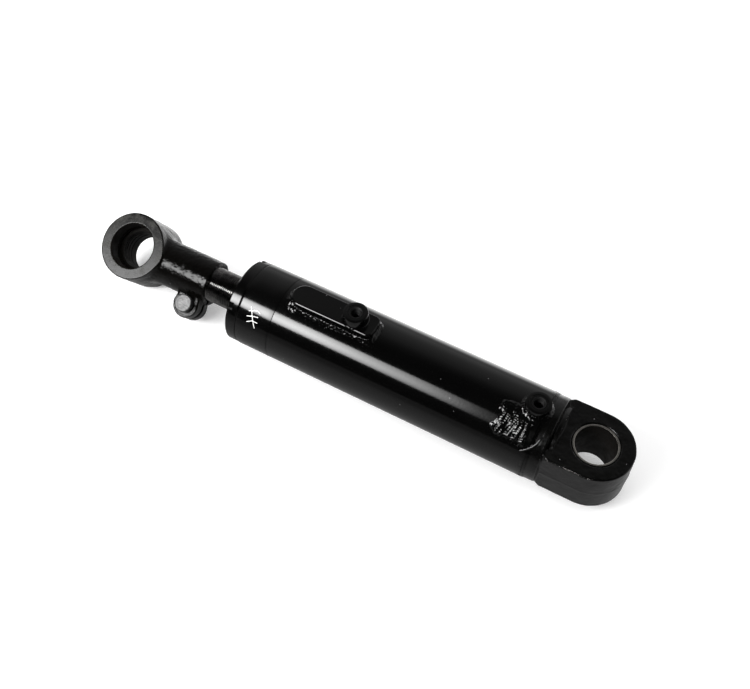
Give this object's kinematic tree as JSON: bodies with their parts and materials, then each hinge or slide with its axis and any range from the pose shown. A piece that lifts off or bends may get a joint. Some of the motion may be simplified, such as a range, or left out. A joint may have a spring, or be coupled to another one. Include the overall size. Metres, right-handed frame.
{
  "type": "hydraulic cylinder",
  "caption": "Double-acting welded hydraulic cylinder with a bushed base lug, oil ports along one side and a split clamp rod end.",
  "frame": {"origin": "centre of the base pin eye, midway through the base lug", "axes": "+X along the barrel toward the rod end, +Z along the base pin axis toward the side that carries the ports, +Y completes the right hand"},
  "size_m": [0.5947, 0.0911, 0.1084],
  "materials": {
    "black_gloss": "gloss black paint",
    "black_forged": "black paint over a forged surface",
    "black_cast": "satin black over a rough casting",
    "black_bead": "black paint over weld bead",
    "bare_steel": "machined",
    "chrome": "hard chrome, ground",
    "bronze": "machined bearing bronze",
    "iron": "machined iron",
    "rubber": "moulded nitrile",
    "polyurethane": "moulded polyurethane",
    "nylon": "filled nylon bearing strip"
  },
  "bodies": {
    "barrel": {"barrel_tube": "black_gloss", "base_lug": "black_forged", "base_bush": "bare_steel", "cap_weld": "black_bead", "base_port_boss": "black_gloss", "base_port_weld": "black_bead", "rod_port_block": "black_gloss", "rod_port_block_weld": "black_bead", "rod_port_boss": "black_gloss", "rod_port_boss_weld": "black_bead", "gland_collar": "black_gloss", "gland": "black_gloss", "gland_o_ring": "rubber", "gland_backup_ring": "polyurethane", "rod_guide_bush": "bronze", "rod_buffer_seal": "polyurethane", "rod_seal": "rubber", "rod_wiper": "polyurethane"},
    "piston_rings": {"piston_seal": "rubber", "piston_wear_ring_front": "nylon", "piston_wear_ring_rear": "nylon"},
    "rod": {"piston_rod": "chrome", "piston": "iron", "piston_o_ring": "rubber", "piston_nut": "bare_steel", "rod_end": "black_cast", "rod_eye_bush": "bare_steel", "pinch_screw": "bare_steel"}
  },
  "joints": [
    {"name": "rod_slide", "type": "slide", "parent": "barrel", "child": "piston_rings", "axis": [1, 0, 0], "range_m": [0, 0.2032]},
    {"name": "rod_spin", "type": "hinge", "parent": "piston_rings", "child": "rod", "pos_m": [0.3, 0, 0], "axis": [1, 0, 0], "continuous": true}
  ]
}
